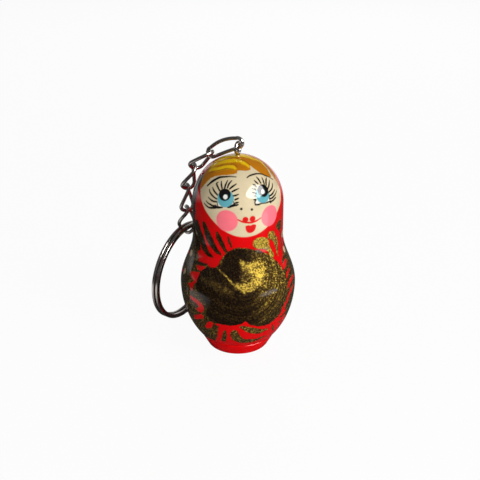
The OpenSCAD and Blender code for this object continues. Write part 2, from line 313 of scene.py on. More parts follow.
def bareWood():
    p = woodLook
    material, tree, shader = newMaterial("bare linden")
    place = objectPlace(tree)
    rings = useGroup(tree, ringsGroup, Place=place, Scale=p["ringScale"], Strength=p["rings"])
    fibre = noise(tree, stretched(tree, place, p["fibreStretch"]), 1.0, p["fibreDetail"])
    colour = mixColour(tree, fibre, p["fibreDark"], p["fibrePale"])
    darker = maths(tree, "SUBTRACT", p["ringFrom"], rings["Shade"], True)
    plug(tree, mixColour(tree, darker, colour, p["ringDark"]), shader.inputs["Base Color"])
    plug(tree, raised(tree, p["rough"][0], fibre, p["rough"][1]), shader.inputs["Roughness"])
    addBump(tree, shader, rings["Height"], p["relief"])
    return material


# Dark nickel plate, paler where the wires rub on each other
nickelLook = {"marks": 420.0, "clear": (0.52, 0.475, 0.445, 1), "dull": (0.32, 0.275, 0.25, 1),
              "worn": (0.74, 0.70, 0.66, 1), "wornShare": 0.7, "rough": (0.12, 0.30),
              "relief": (0.06, 0.00002)}


def nickel():
    p = nickelLook
    material, tree, shader = newMaterial("dark nickel")
    marks = useGroup(tree, marksGroup, Place=objectPlace(tree), Scale=p["marks"])
    plate = mixColour(tree, marks["Dull"], p["clear"], p["dull"])
    worn = maths(tree, "MULTIPLY", painted(tree, "rubbed"), p["wornShare"])
    plug(tree, mixColour(tree, worn, plate, p["worn"]), shader.inputs["Base Color"])
    shader.inputs["Metallic"].default_value = 1.0
    plug(tree, raised(tree, p["rough"][0], marks["Dull"], p["rough"][1]), shader.inputs["Roughness"])
    addBump(tree, shader, marks["Height"], p["relief"])
    return material


# The second value is the powder's cells to a metre, finer on the small dolls
outerLacquer, nestedLacquer = lacquer("red lacquer", 3050.0), lacquer("nested lacquer", 5200.0)
linden, darkNickel = bareWood(), nickel()
print("materials made")


# The turned form

dollForm = {"height": 60, "bellyR": 17.2, "bellyZ": 21, "headR": 13.3, "shoulderZ": 36.5, "domeH": 14,
            "plinthR": 11.0, "plinthH": 4, "footR": 8.7, "footBevel": 0.5, "groove": 0.3, "partZ": 24,
            "fitGap": 0.15, "seatGap": 0.3, "nestGap": 0.4, "rimBevel": 0.3, "edgeR": 0.25}
outerFit = {"rise": 4.5, "spigot": 1.3, "wall": 1.4, "pilotR": 0.7, "pilotFloor": 52.7}
middleFit = {"rise": 3.2, "spigot": 1.0, "wall": 1.0}
formSteps = {"side": 1600, "dome": 900, "roomSide": 30, "roomDome": 26, "pocket": 24}
domeZ = dollForm["height"] - dollForm["domeH"]


# Radius of the skin: an ellipse under the widest height, half a cosine wave over
# it, straight sides on the head
def skinRadius(z):
    d = dollForm
    drop = (d["bellyZ"] - d["plinthH"]) / math.sqrt(1 - (d["plinthR"] / d["bellyR"]) ** 2)
    low = d["bellyR"] * np.sqrt(np.maximum(0, 1 - ((d["bellyZ"] - z) / drop) ** 2))
    wave = (1 + np.cos(np.pi * (z - d["bellyZ"]) / (d["shoulderZ"] - d["bellyZ"]))) / 2
    return np.where(z < d["bellyZ"], low, np.where(
        z < d["shoulderZ"], d["headR"] + (d["bellyR"] - d["headR"]) * wave, d["headR"]))


# The whole skin as a table of radius, height and length along it, dome as half an ellipse
sideZ = np.linspace(dollForm["plinthH"] + dollForm["groove"], domeZ, formSteps["side"])
domeT = np.linspace(0, np.pi / 2, formSteps["dome"])[1:]
tableR = np.concatenate([skinRadius(sideZ), dollForm["headR"] * np.cos(domeT)])
tableZ = np.concatenate([sideZ, domeZ + dollForm["domeH"] * np.sin(domeT)])
tableS = np.concatenate([[0], np.cumsum(np.hypot(np.diff(tableR), np.diff(tableZ)))])


def lengthAt(z):
    return np.interp(z, tableZ, tableS)


# Points [radius, height] evenly spaced along the skin between two heights
def skinPoints(low, high, step):
    ends = lengthAt(low), lengthAt(high)
    s = np.linspace(*ends, max(2, int(abs(ends[1] - ends[0]) / step) + 1))
    return np.stack([np.interp(s, tableS, tableR), np.interp(s, tableS, tableZ)], -1)


# Quarter round between two points around a corner
def roundCorner(corner, before, after, radius, count=5):
    corner, before, after = (np.array(p, float) for p in (corner, before, after))
    start = corner + radius * (before - corner) / np.linalg.norm(before - corner)
    end = corner + radius * (after - corner) / np.linalg.norm(after - corner)
    t = np.linspace(0, 1, count)[:, None]
    return (1 - t) ** 2 * start + 2 * t * (1 - t) * corner + t ** 2 * end


def footPoints():
    d = dollForm
    foot, bevel = [d["footR"], 0], [d["footR"] + d["footBevel"], d["footBevel"]]
    edge, neck = [d["plinthR"], d["plinthH"] - d["groove"]], [d["plinthR"] - d["groove"], d["plinthH"]]
    return np.concatenate([
        np.array([[d["footR"] * 0.5, 0.0]]), roundCorner(foot, [0, 0], bevel, d["edgeR"]),
        roundCorner(bevel, foot, edge, d["edgeR"]), roundCorner(edge, bevel, neck, d["edgeR"]),
        np.array([neck])])


def scaled(points, size):
    return np.asarray(points, float) * size[0] + [0, size[1]]


def socketRadius(size, fit):
    return size[0] * skinRadius(np.array(dollForm["partZ"] + fit["rise"] / size[0])) - fit["wall"]


# Crown of a doll grown by a gap, from a height down on its skin up to its top
def crownRoom(size, low, gap):
    d = dollForm
    side = np.linspace(low, domeZ, formSteps["roomSide"])
    t = np.linspace(0, np.pi / 2, formSteps["roomDome"])[1:]
    wall = scaled(np.stack([skinRadius(side), side], -1), size) + [gap, 0]
    dome = np.stack([(size[0] * d["headR"] + gap) * np.cos(t),
                     size[1] + size[0] * domeZ + (size[0] * d["domeH"] + gap) * np.sin(t)], -1)
    return np.concatenate([wall, dome])


# Profile of a lower half from the middle of its foot round to the middle of its
# floor, then the number of painted points and the height of the floor
def lowerProfile(size, inside, fit, step):
    d = dollForm
    skin = skinPoints(d["plinthH"] + d["groove"], d["partZ"], step)
    outer = scaled(np.concatenate([footPoints(), skin]), size)
    part, spigotR = size[1] + size[0] * d["partZ"], socketRadius(size, fit) - d["fitGap"]
    mouth, rim = spigotR - fit["spigot"], part + fit["rise"] - d["seatGap"]
    pocketZ = np.linspace(d["bellyZ"], d["plinthH"], formSteps["pocket"])
    gap = mouth - inside[0] * d["bellyR"]
    pocket = scaled(np.stack([skinRadius(pocketZ), pocketZ], -1), inside) + [gap, 0]
    inner = np.concatenate([
        [[spigotR, part], [spigotR, rim - d["rimBevel"]], [spigotR - d["rimBevel"], rim], [mouth, rim]],
        pocket, [[inside[0] * d["plinthR"] + gap, inside[1]]]])
    return np.concatenate([outer, inner]), len(outer), inside[1]


# Profile of an upper half: its hollow from the top down to the parting, then its
# skin, then the height of the hollow's top
def upperProfile(size, inside, fit, rows):
    d = dollForm
    part, socketR = size[1] + size[0] * d["partZ"], socketRadius(size, fit)
    ceiling = part + fit["rise"]
    room = crownRoom(inside, (ceiling - inside[1]) / inside[0], d["nestGap"])[::-1]
    inner = np.concatenate([room[1:], [[socketR, ceiling], [socketR, part]]])
    return inner, scaled(rows, size), room[0, 1]


def fanAngles(frontHalf, frontStep, backStep):
    front = np.arange(-frontHalf, frontHalf, frontStep)
    return np.concatenate([front, np.linspace(frontHalf, 360 - frontHalf,
                                              int((360 - 2 * frontHalf) / backStep), endpoint=False)])


# Point j of ring i: the profile's point i turned by angle j from the face, which looks to -Y
def turnedRings(profile, angles):
    a = np.radians(angles)
    r, z = profile[:, :1], profile[:, 1:]
    return np.stack([r * np.sin(a), -r * np.cos(a), z + 0 * a], -1)


# The brush

# Millimetres and degrees; the waver of painted edges is the mean of three sine waves, each given
# by its factors of the place around and of the length along the skin and by its start
brush = {"steps": 10, "margin": 1.5, "leastRadius": 7, "farAway": 9.0, "edge": 0.09, "crownFrom": 51,
         "patchTurn": 8, "patchRise": 2, "tiny": 1e-9, "waverRadius": 14, "waver": 0.12,
         "waves": [(1.9, 0.7, 0.0), (-1.1, 2.7, 1.3), (3.7, 2.2, 0.4)]}


# Where each point of the skin is: degrees from the face, height, length along the skin
def skinPlace(profile, angles, size):
    r, z = (profile[:, 0] / size[0]), (profile[:, 1] - size[1]) / size[0]
    angle, height = np.meshgrid((angles + 180) % 360 - 180, z)
    radius = np.broadcast_to(r[:, None], angle.shape)
    angle, height, radius = angle.ravel(), height.ravel(), radius.ravel()
    length = lengthAt(height)
    u = np.radians(angle) * brush["waverRadius"]
    waves = [np.sin(around * u + along * length + start) for around, along, start in brush["waves"]]
    wander = sum(waves) / len(waves)
    return {"angle": angle, "height": height, "radius": radius, "length": length, "wander": wander,
            "side": radius * np.sin(np.radians(angle)), "front": radius * np.cos(np.radians(angle))}


# A smooth curve through the points, in steps from each to the next, with the brush's half width along it
def brushPath(points, widths):
    points, count = np.array(points, float), len(points) - 1
    t = np.linspace(0, count, brush["steps"] * count + 1)
    i = np.minimum(t.astype(int), count - 1)
    f = (t - i)[:, None]
    a, b, c, d = (points[np.clip(i + k, 0, count)] for k in (-1, 0, 1, 2))
    curve = b + f / 2 * (c - a + f * (2 * a - 5 * b + 4 * c - d + f * (3 * (b - c) + d - a)))
    return curve, np.interp(t, np.linspace(0, count, len(widths)), widths)


def turnBetween(a, b):
    return (a - b + 180) % 360 - 180


# Distance from a stroke: the least, along its path, of the distance over the skin less the half width
def stroke(skin, points, widths):
    curve, half = brushPath(points, widths)
    reach = half.max() + brush["margin"]
    s = lengthAt(curve[:, 1])
    middle = (curve[:, 0].max() + curve[:, 0].min()) / 2
    span = (curve[:, 0].max() - curve[:, 0].min()) / 2 + np.degrees(reach / brush["leastRadius"])
    near = np.flatnonzero((np.abs(turnBetween(skin["angle"], middle)) < span)
                          & (skin["length"] > s.min() - reach) & (skin["length"] < s.max() + reach))
    away = np.full(len(skin["angle"]), brush["farAway"])
    across = np.radians(turnBetween(skin["angle"][near, None], curve[:, 0])) * skin["radius"][near, None]
    away[near] = (np.hypot(across, skin["length"][near, None] - s) - half).min(1)
    return away


# The same on the crown, seen from above: points are [to the right, to the front]
def crownStroke(skin, points, widths):
    curve, half = brushPath(points, widths)
    near = np.flatnonzero(skin["height"] > brush["crownFrom"])
    away = np.full(len(skin["angle"]), brush["farAway"])
    away[near] = (np.hypot(skin["side"][near, None] - curve[:, 0],
                           skin["front"][near, None] - curve[:, 1]) - half).min(1)
    return away


# Distance from an oval spot, over the skin
def spot(skin, centre, halfWide, halfHigh=None):
    halfHigh = halfHigh or halfWide
    across = np.radians(turnBetween(skin["angle"], centre[0])) * skin["radius"]
    up = skin["length"] - lengthAt(centre[1])
    return (np.hypot(across / halfWide, up / halfHigh) - 1) * min(halfWide, halfHigh)


# Distance from a closed outline, less than 0 inside it: nearest side, and an odd number of sides crossed
def patch(skin, points):
    curve = brushPath(list(points) + [points[0]], [0])[0]
    s = lengthAt(curve[:, 1])
    turn, rise = brush["patchTurn"], brush["patchRise"]
    beside = (skin["angle"] > curve[:, 0].min() - turn) & (skin["angle"] < curve[:, 0].max() + turn)
    level = (skin["length"] > s.min() - rise) & (skin["length"] < s.max() + rise)
    near = np.flatnonzero(beside & level)
    away = np.full(len(skin["angle"]), brush["farAway"])
    u = np.radians(curve[:, 0] - skin["angle"][near, None]) * skin["radius"][near, None]
    v = s - skin["length"][near, None]
    u0, v0, du, dv = u[:, :-1], v[:, :-1], np.diff(u), np.diff(v)
    t = np.clip(-(u0 * du + v0 * dv) / np.maximum(du * du + dv * dv, brush["tiny"]), 0, 1)
    nearest = np.hypot(u0 + t * du, v0 + t * dv).min(1)
    slope = du / np.where(dv == 0, brush["tiny"], dv)
    crosses = ((v0 > 0) != (v[:, 1:] > 0)) & (u0 - v0 * slope > 0)
    away[near] = np.where(crosses.sum(1) % 2 == 1, -nearest, nearest)
    return away


# Share of paint: 1 inside, 0 outside, over an edge of the given softness
def share(away, soft=brush["edge"]):
    return smooth(0.5 - away / (2 * soft))


def lay(coat, layer, amount):
    coat[layer] = np.maximum(coat[layer], amount)


# Bronze paint with its own brightness, over what is there
def gild(coat, amount, level):
    lay(coat, "bronze", amount)
    coat["gilt"] = coat["gilt"] * (1 - amount) + level * amount


# Scarf edge: a plane through the chin and behind the crown, as [front, height] points
faceEdge = {"chin": (13.3, 40.1), "crown": (-2.6, 60.0), "roll": -0.026, "bend": 0.014, "bendFrom": 48,
            "lowest": 36}

eyes = {
    "pupils": [((-29.8, 52.12), 1.74), ((25.2, 52.6), 1.80)],
    "glints": [((-28.5, 51.58), 0.68), ((24.2, 52.35), 0.66)],
    "irises": [((-28.3, 51.1), 2.40), ((23.0, 51.55), 2.30)],
    "whites": [[(10.4, 49.5), (12.6, 50.6), (16, 50.4), (15, 49.5)],
               [(30, 49.5), (29.5, 50.5), (32.4, 50.3), (32, 49.5)],
               [(-38.2, 49.0), (-38.6, 49.9), (-34, 50), (-34, 48.9)],
               [(-22, 49.3), (-22.5, 50.3), (-17.8, 50.6), (-17.4, 49.7)]],
    "brows": [([(-60.9, 53.4), (-56.3, 54.5), (-50.5, 55.4), (-44.8, 55.97), (-39, 56.2), (-30, 56.42),
                (-24.7, 56.5), (-15.3, 56.45)], [0.26, 0.4, 0.38, 0.32, 0.26, 0.2, 0.15]),
              ([(4.3, 56.2), (10, 56.55), (19.8, 56.7), (27.8, 56.65), (36.4, 56.3), (42.1, 55.7),
                (47.3, 55.2), (54.7, 54.1)], [0.16, 0.26, 0.25, 0.23, 0.2, 0.15])],
    "lids": [([(-58.9, 48.75), (-54.5, 48.25), (-50, 47.95), (-46, 48.05), (-42.5, 48.25), (-39, 48.5),
               (-35, 48.6), (-31.3, 48.7)], [0.13, 0.24, 0.32, 0.36, 0.36, 0.2]),
             ([(-24.5, 48.85), (-21.9, 49.0), (-19.6, 49.3), (-16.1, 49.55), (-13.3, 49.5)],
              [0.18, 0.3, 0.4, 0.22]),
             ([(-38.8, 49.9), (-37.6, 49.0)], [0.12, 0.16]), ([(-17.6, 50.6), (-16.4, 49.6)], [0.08, 0.26]),
             ([(10.3, 49.35), (15, 49.28), (19.2, 49.4), (25, 49.25), (30.7, 49.3), (33.5, 49.0)],
              [0.24, 0.24, 0.17, 0.17, 0.24, 0.28]),
             ([(12.3, 50.6), (9.8, 50.1), (10.3, 49.4)], [0.1, 0.2, 0.17]),
             ([(33.2, 50.9), (32.4, 50), (33, 49)], [0.1, 0.16, 0.16])],
    "lashes": [
        [(-35, 53.56), (-37.4, 54.4), (-39.4, 55.25)],
        [(-37.6, 52.9), (-42.5, 53.8), (-46.2, 54.5), (-44, 54.85)],
        [(-40, 51.8), (-44.8, 52.4), (-48.2, 52.9), (-50.5, 53.4)],
        [(-40.2, 50.75), (-44.8, 51.1), (-49.4, 51.6), (-52.8, 52.1), (-55.2, 52.7)],
        [(-39.6, 50), (-44.8, 49.96), (-48.8, 50.2), (-53.4, 50.65)],
        [(-40, 48.9), (-44.8, 48.7), (-48.2, 48.9), (-52.3, 49.1), (-55.7, 49.5)],
        [(-31.3, 53.75), (-30.75, 54.6), (-29, 55.6)], [(-27.1, 53.9), (-25.9, 54.75), (-22.1, 55.6)],
        [(-23.6, 53.7), (-19.6, 54.3), (-14.4, 54.9)], [(-19.9, 53), (-16.1, 53.4), (-10.7, 53.8)],
        [(-17.9, 52), (-15, 52.1), (-11, 52.4)], [(-15.6, 51), (-11, 51.4)],
        [(-15.3, 50.1), (-11, 50.35)], [(-15.1, 49.5), (-11.3, 49.75)],
        [(19.8, 54.5), (17.8, 54.9), (15.5, 55.4)], [(25.2, 54.5), (23.8, 55.5), (21.8, 56.05)],
        [(30.7, 54), (31.5, 54.75), (32.1, 55.6)], [(33.2, 53.6), (35.8, 54.4), (38.7, 54.9), (41.5, 55.2)],
        [(33.2, 52.6), (37.5, 53.2), (41, 53.75), (45, 54.4)],
        [(32.9, 51.8), (37.5, 52), (42.1, 52.4), (45.5, 52.9), (47.8, 53.4)],
        [(33.2, 50.8), (37.5, 50.9), (42.1, 51.25), (47.3, 51.75)],
        [(32.4, 50.05), (36.4, 50), (41, 50.25), (45.5, 50.6), (50.7, 51.2)],
        [(33, 49.2), (37.5, 49.25), (42.1, 49.55), (45, 49.75)],
        [(16, 53.8), (14.3, 54.25), (11.5, 54.55)], [(14, 53.2), (12.3, 53.4), (8.6, 53.6)],
        [(13, 52.2), (11.5, 52.4), (7.7, 52.7)], [(12.5, 51.5), (8.6, 51.75)], [(11.5, 50.7), (8.3, 50.75)]],
    "lashWidths": [0.24, 0.27, 0.13],
}
cheeksAndMouth = {
    "cheeks": [((-25.5, 44.9), 3.15), ((30.8, 45.2), 3.08)], "cheekSoft": 0.16,
    "nostrils": [((-7.8, 48.5), 0.37), ((5.3, 48.15), 0.37)],
    "smile": ([(-11.9, 45.4), (-6.9, 44.8), (-1, 44.45), (5, 44.35), (11, 44.65), (17, 45.3)],
              [0.18, 0.28, 0.3, 0.3, 0.28, 0.16]),
    "upperLip": [((-2.9, 45.35), 0.84, 0.84), ((6.0, 45.38), 0.86, 0.92)],
    "lowerLip": [(-3, 43.4), (0.5, 43.65), (3.5, 43.5), (6.5, 43.7), (10.4, 43.5), (10.2, 42.6), (8.2, 41.7),
                 (4, 41.2), (0, 41.4), (-2.2, 42.1), (-2.8, 42.8)],
}
hair = {
    "line": [(-180, 49), (-79, 49.2), (-71, 52.2), (-66, 54), (-62, 55.2), (-56, 55.9), (-42, 56.55),
             (-24, 56.9), (-14, 57.2), (-12.5, 57.8), (-1, 57.7), (10, 57.6), (17, 57.7), (20, 58.2),
             (23, 58.5), (26, 58), (32, 57), (40, 56), (48, 55.1), (53, 54.8), (56, 55.2), (60, 56.2),
             (66, 57.4), (72, 58), (180, 58.6)],
    "lights": [([(-8.5, 1.8), (-6.3, 3.9), (-4.4, 4.6), (-2.9, 5.5), (-2, 6.3)], [0.4, 0.7, 0.8, 0.75, 0.3]),
               ([(-7.7, 0.7), (-5.5, 1.7), (-3.1, 2.6), (-0.7, 3.5), (0.8, 4.8), (1.9, 6)],
                [0.6, 0.85, 0.9, 0.85, 0.65, 0.3]),
               ([(-7, -1.1), (-4.5, -0.6), (-1.6, -0.3), (0.7, 0), (2.7, 1.1), (4, 1.9)],
                [0.9, 1.2, 1.4, 1.4, 1.0, 0.4]),
               # the last stroke, pale along the right lock's outer edge, is a painted highlight
               ([(3.6, 2.1), (5.7, 2.0), (7, 3.0), (8.2, 3.9)], [0.5, 0.5, 0.45, 0.3])],
    "partings": [([(-8.8, 2.6), (-6.4, 4.5), (-4.4, 5.3), (-2.6, 6.4)], [0.1, 0.16, 0.16, 0.1]),
                 ([(-6.6, 2.9), (-4.3, 3.9), (-2.2, 4.9), (-1.4, 6.0)], [0.1, 0.16, 0.14, 0.08]),
                 ([(-0.9, 2.5), (0.9, 3.7), (2.3, 5.3)], [0.1, 0.18, 0.1])],
    "tress": ([(84, 58.2), (77, 57), (72.5, 56), (68.5, 55), (65.3, 53.2), (62, 51)],
              [0.7, 0.85, 0.9, 0.9, 0.6, 0.25]),
    "tressLine": ([(74, 57.8), (68, 57), (64.5, 56), (61.5, 55), (60.8, 53.6)],
                  [0.12, 0.18, 0.18, 0.15, 0.08]),
    "waver": 0.1, "lightWaver": 0.12, "lightSoft": 0.32, "partingSoft": 0.22,
}


def paintFace(coat, skin):
    chin, crown = faceEdge["chin"], faceEdge["crown"]
    run, rise = crown[0] - chin[0], crown[1] - chin[1]
    inFront = ((skin["front"] - chin[0]) * rise - (skin["height"] - chin[1]) * run) / math.hypot(run, rise)
    lifted = np.maximum(skin["height"] - faceEdge["bendFrom"], 0) * np.maximum(skin["side"], 0)
    inFront = inFront + faceEdge["roll"] * skin["side"] - faceEdge["bend"] * lifted
    coat["face"] = share(-inFront) * (skin["height"] > faceEdge["lowest"])
    hairline = np.interp(skin["angle"], *np.transpose(hair["line"]))
    coat["hair"] = share(lengthAt(hairline) - skin["length"] + hair["waver"] * skin["wander"]) * coat["face"]
    lay(coat, "hair", share(stroke(skin, *hair["tress"])) * coat["face"])
    lay(coat, "hairDark", share(stroke(skin, *hair["tressLine"])) * coat["face"])
    for points, widths in hair["lights"]:
        away = crownStroke(skin, points, widths) + hair["lightWaver"] * skin["wander"]
        lay(coat, "hairLight", share(away, hair["lightSoft"]) * coat["hair"])
    for points, widths in hair["partings"]:
        lay(coat, "hairDark", share(crownStroke(skin, points, widths), hair["partingSoft"]) * coat["hair"])
    for centre, radius in cheeksAndMouth["cheeks"]:
        lay(coat, "blush", share(spot(skin, centre, radius), cheeksAndMouth["cheekSoft"]))
    for centre, radius in eyes["irises"]:
        lay(coat, "iris", share(spot(skin, centre, radius)))
    for centre, radius in eyes["pupils"] + cheeksAndMouth["nostrils"]:
        lay(coat, "ink", share(spot(skin, centre, radius)))
    lashes = [(points, eyes["lashWidths"]) for points in eyes["lashes"]]
    for points, widths in eyes["brows"] + eyes["lids"] + lashes:
        lay(coat, "ink", share(stroke(skin, points, widths)))
    for points in eyes["whites"]:
        lay(coat, "white", share(patch(skin, points)) * (1 - coat["iris"]))
    coat["white"] = coat["white"] * (1 - coat["ink"])
    for centre, radius in eyes["glints"]:
        glint = share(spot(skin, centre, radius))
        lay(coat, "white", glint)
        coat["ink"], coat["iris"] = coat["ink"] * (1 - glint), coat["iris"] * (1 - glint)
    lay(coat, "lip", share(stroke(skin, *cheeksAndMouth["smile"])))
    for centre, wide, high in cheeksAndMouth["upperLip"]:
        lay(coat, "lip", share(spot(skin, centre, wide, high)))
    lay(coat, "lip", share(patch(skin, cheeksAndMouth["lowerLip"])))


rose = {
    "outline": [(-6, 36.9), (4, 36.3), (14, 35.6), (24, 34.3), (31, 33.0), (36, 31.6), (41, 30.3), (45, 28),
                (46.5, 25.5), (45.5, 22.5), (43, 19.5), (39, 16.8), (37, 15), (31, 13.6), (22, 12.4),
                (12, 12.6), (4, 13.2), (-1, 14.0), (-4.5, 15.2), (-8, 14.4), (-14, 13.7), (-24, 13.6),
                (-33, 13.7), (-41, 14.2), (-45, 16), (-44, 18.5), (-46, 20.5), (-51, 21.5), (-56, 23),
                (-58.5, 25.5), (-57, 28), (-52, 29.6), (-46, 30.3), (-40, 30.6), (-36, 31.3), (-32.5, 33),
                (-28, 34.8), (-20, 36.2), (-12, 36.9)],
    "middle": (-9, 29.5), "heart": ((-13.5, 32.0), 3.9, 4.5),
    "rim": ([(-32, 31.8), (-28, 34.4), (-19, 36.2), (-9, 36.9), (6, 36.0)], [0.3, 0.5, 0.5, 0.5, 0.3]),
    "gold": [(-10, 33), (-2, 32.9), (4, 32.3), (12, 32.4), (18, 31.4), (19, 29.8), (17, 27.8), (13, 26.2),
             (7, 25.3), (1, 24.7), (-5, 24.3), (-9, 24.8), (-15, 25.9), (-13, 27), (-5, 26.9), (1, 26.8),
             (4, 27.6), (4, 28.8), (0, 29.8), (-5, 30.6), (-9, 31.8)],
    "goldDust": [(-7, 31), (2, 30.4), (7, 28.6), (4, 26.4), (-3, 26.6), (-9, 26.8), (-10, 28.6)],
    "line": ([(-13, 26), (-19, 27.3), (-24, 28.6), (-30, 29.7), (-37, 30.8)], [0.5, 0.34, 0.24, 0.2, 0.12]),
    "lobe": ([(-51, 26.9), (-42, 26.4), (-32, 25.6), (-19, 24.8)], [0.4, 0.9, 1.1, 0.8]),
    "pitch": 1.15, "bend": 2.2, "bendStart": 0.6, "streakWaver": 0.5, "broadPitch": 3.1, "broadStart": 1.1,
    "waver": 0.18, "rightFrom": -6, "rightOver": 24, "upperFrom": 15, "upperOver": 9,
    "least": 0.04, "right": 0.20, "upperRight": 0.22, "streaks": 0.10, "rightStreaks": 0.06,
}
# Bronze over the petals, in order: shape, waver, softness of the edge, brightness, kept within the petals
roseWashes = [(stroke, "lobe", 0.5, 0.9, 0.32, True), (stroke, "rim", 0.2, 0.6, 0.54, True),
              (spot, "heart", 0.0, 0.5, 0.0, True), (patch, "goldDust", 0.3, 0.9, 0.40, False),
              (patch, "gold", 0.4, 0.7, 0.83, False), (stroke, "line", 0.1, 0.2, 0.8, False)]
# Each stroke: points, half widths, brightness of the bronze
leaves = {
    "neck": [([(-24, 40.1), (-23, 38.9), (-20, 37.1)], [0.22, 0.4, 0.3], 0.22),
             ([(-38, 40.9), (-36, 39.4), (-32, 37.7), (-28, 36), (-24, 35.2)],
              [0.4, 0.85, 0.78, 0.5, 0.25], 0.18),
             ([(-58, 42.5), (-52, 39.5), (-47, 37.6), (-41, 35.8), (-33, 34.4)],
              [0.8, 1.2, 1.15, 0.8, 0.3], 0.14),
             ([(-73, 41.5), (-64, 37.8), (-59, 35.6), (-53, 34.2), (-44, 33.3)],
              [1.1, 1.35, 1.2, 0.85, 0.3], 0.14),
             ([(-92, 44), (-84, 40.5), (-76, 37.2), (-70, 34.6)], [1.2, 1.7, 1.8, 1.2], 0.16),
             # Partly paint, partly painted shade: this dark stroke up the scarf's left side is a leaf and
             # also stands for the chain's shadow on the shaded side
             ([(-86, 55.5), (-88, 52.5), (-89, 49), (-90, 45.5), (-90, 42), (-86, 39)],
              [0.5, 1.9, 2.5, 2.7, 2.6, 1.8], 0.06),
             ([(-76, 29.6), (-64, 30.5), (-56, 30.7), (-50, 30.9)], [0.4, 0.3, 0.28, 0.15], 0.12),
             ([(52, 39.6), (58, 36.4), (56, 33)], [0.3, 0.36, 0.3], 0.30),
             ([(43, 37.6), (46, 35.4), (43.5, 32)], [0.6, 0.4, 0.18], 0.60)],
    "low": [([(-10, 13.3), (-4, 12.4), (4, 11.3), (13, 10.4), (23, 10.5)],
             [0.25, 0.9, 1.25, 1.0, 0.25], 0.45),
            ([(-15, 11.2), (-16, 10.2), (-14, 8.6), (-10, 7.4), (1, 6.6), (12, 6.7), (23, 7.4)],
             [0.7, 1.3, 1.5, 1.35, 1.1, 0.8, 0.3], 0.40),
            ([(-26, 11.2), (-28, 8.9), (-31, 6.6)], [0.35, 0.75, 0.7], 0.34),
            ([(47, 14), (42, 13.5), (38, 13.6)], [0.4, 0.5, 0.2], 0.34),
            ([(43, 12), (39, 11.3)], [0.4, 0.3], 0.32),
            ([(29, 11.4), (32, 10), (35, 8.7)], [0.3, 0.45, 0.3], 0.34)],
}
# Closed outlines of bronze: the three comma strokes under the chin; the two side fields are in sides
commas = [([(6, 37.8), (8, 38.8), (13, 39.4), (19, 39.4), (26, 38.7), (30, 37.6), (30, 36.6), (33, 35.2),
            (37, 33.1), (34, 32.2), (30, 32.9), (28, 34.2), (22, 35.4), (14, 36), (8, 36.6)], 0.92),
          ([(28, 38.6), (28, 40), (33, 40.4), (39, 39.8), (42, 38.5), (46, 36.6), (46, 34.7), (43, 32.4),
            (42, 33.9), (40, 35.9), (36, 37.1), (32, 37.7)], 0.68),
          ([(43, 41.2), (48, 42.2), (56, 42.3), (58, 40), (52, 39.2), (46, 40)], 0.36)]
sides = {
    "fields": [([(-110, 38.5), (-92, 38), (-84, 37.4), (-78, 36), (-70, 33.6), (-66, 32.2), (-62, 30.9),
                 (-50, 30.9), (-40, 29), (-36, 22), (-36, 14), (-33, 12.6), (-35, 10.2), (-40, 7.2),
                 (-46, 5.6), (-60, 5.2), (-110, 5.2)], 0.35),
               ([(48, 30), (59, 32.4), (68, 33.9), (80, 36), (110, 36.5), (110, 5.2), (75, 5.2), (62, 7),
                 (53, 11), (47, 14.5), (42, 18), (43, 24), (45, 28)], 0.33)],
    "redPatches": [[(-72, 27.1), (-58, 28.1), (-55, 27.3), (-55, 26.2), (-60, 25.1), (-64, 25.6),
                    (-70, 26.3)],
                   [(-72, 23.6), (-60, 25.3), (-62, 24), (-63, 22.1), (-67, 22.9)],
                   [(-66, 29.6), (-58, 29.9), (-51, 30.1), (-54, 28.9), (-62, 28.7)],
                   [(-51, 11.2), (-44, 13.6), (-38, 13.6), (-42, 11.7), (-48, 10.7)]],
    "redStrokes": [([(-65, 19.9), (-57, 19.5), (-51, 18.5), (-52, 17.1), (-56, 16.8)],
                    [0.6, 0.7, 0.9, 0.9, 0.5]),
                   ([(-64, 13.1), (-52, 14.8)], [0.7, 0.8]),
                   ([(58, 29.4), (52, 28.8), (46, 28.5)], [0.5, 0.8, 0.6]),
                   ([(57, 26.8), (50, 26.1), (46, 25.3)], [0.35, 0.5, 0.4]),
                   ([(64, 24), (53, 23.6), (47, 22.4)], [0.4, 0.6, 0.45]),
                   ([(60, 21.4), (51, 20.3), (46, 18.9)], [0.4, 0.6, 0.5]),
                   ([(48, 18.2), (41, 16.8), (38, 14.8)], [0.4, 0.7, 0.6])],
    "fieldWaver": 0.2, "redWaver": 0.1,
    "backFrom": 88, "low": 5.2, "high": 36.5, "backLevel": 0.32, "backWaver": 0.25, "backSoft": 0.12,
    "scallop": 1.0, "scallops": 11, "backRedPath": [(-11, -0.9), (0, 0.2), (11, 0.5)], "backRedTip": 0.1,
    "backRedShoulder": 0.75, "backRedWaver": 0.06,
    "backTurns": [101, 133, 165, 197, 229, 259],
    "backReds": [(30.2, 0.7), (24.6, 0.8), (19.2, 0.8), (13.6, 0.7), (9.0, 0.6)],
    "dots": [((-86, 31.2), 1.1, 1.0), ((-86, 25.6), 0.8, 1.0), ((66, 36.9), 1.0, 1.2),
             ((64, 32.2), 0.9, 1.0)],
    "backDots": [117, 149, 181, 213, 243], "backDotHeights": [32.4, 27.2], "backDotSize": (1.1, 0.8),
}


def wipe(coat, amount):
    coat["bronze"] = coat["bronze"] * (1 - amount)


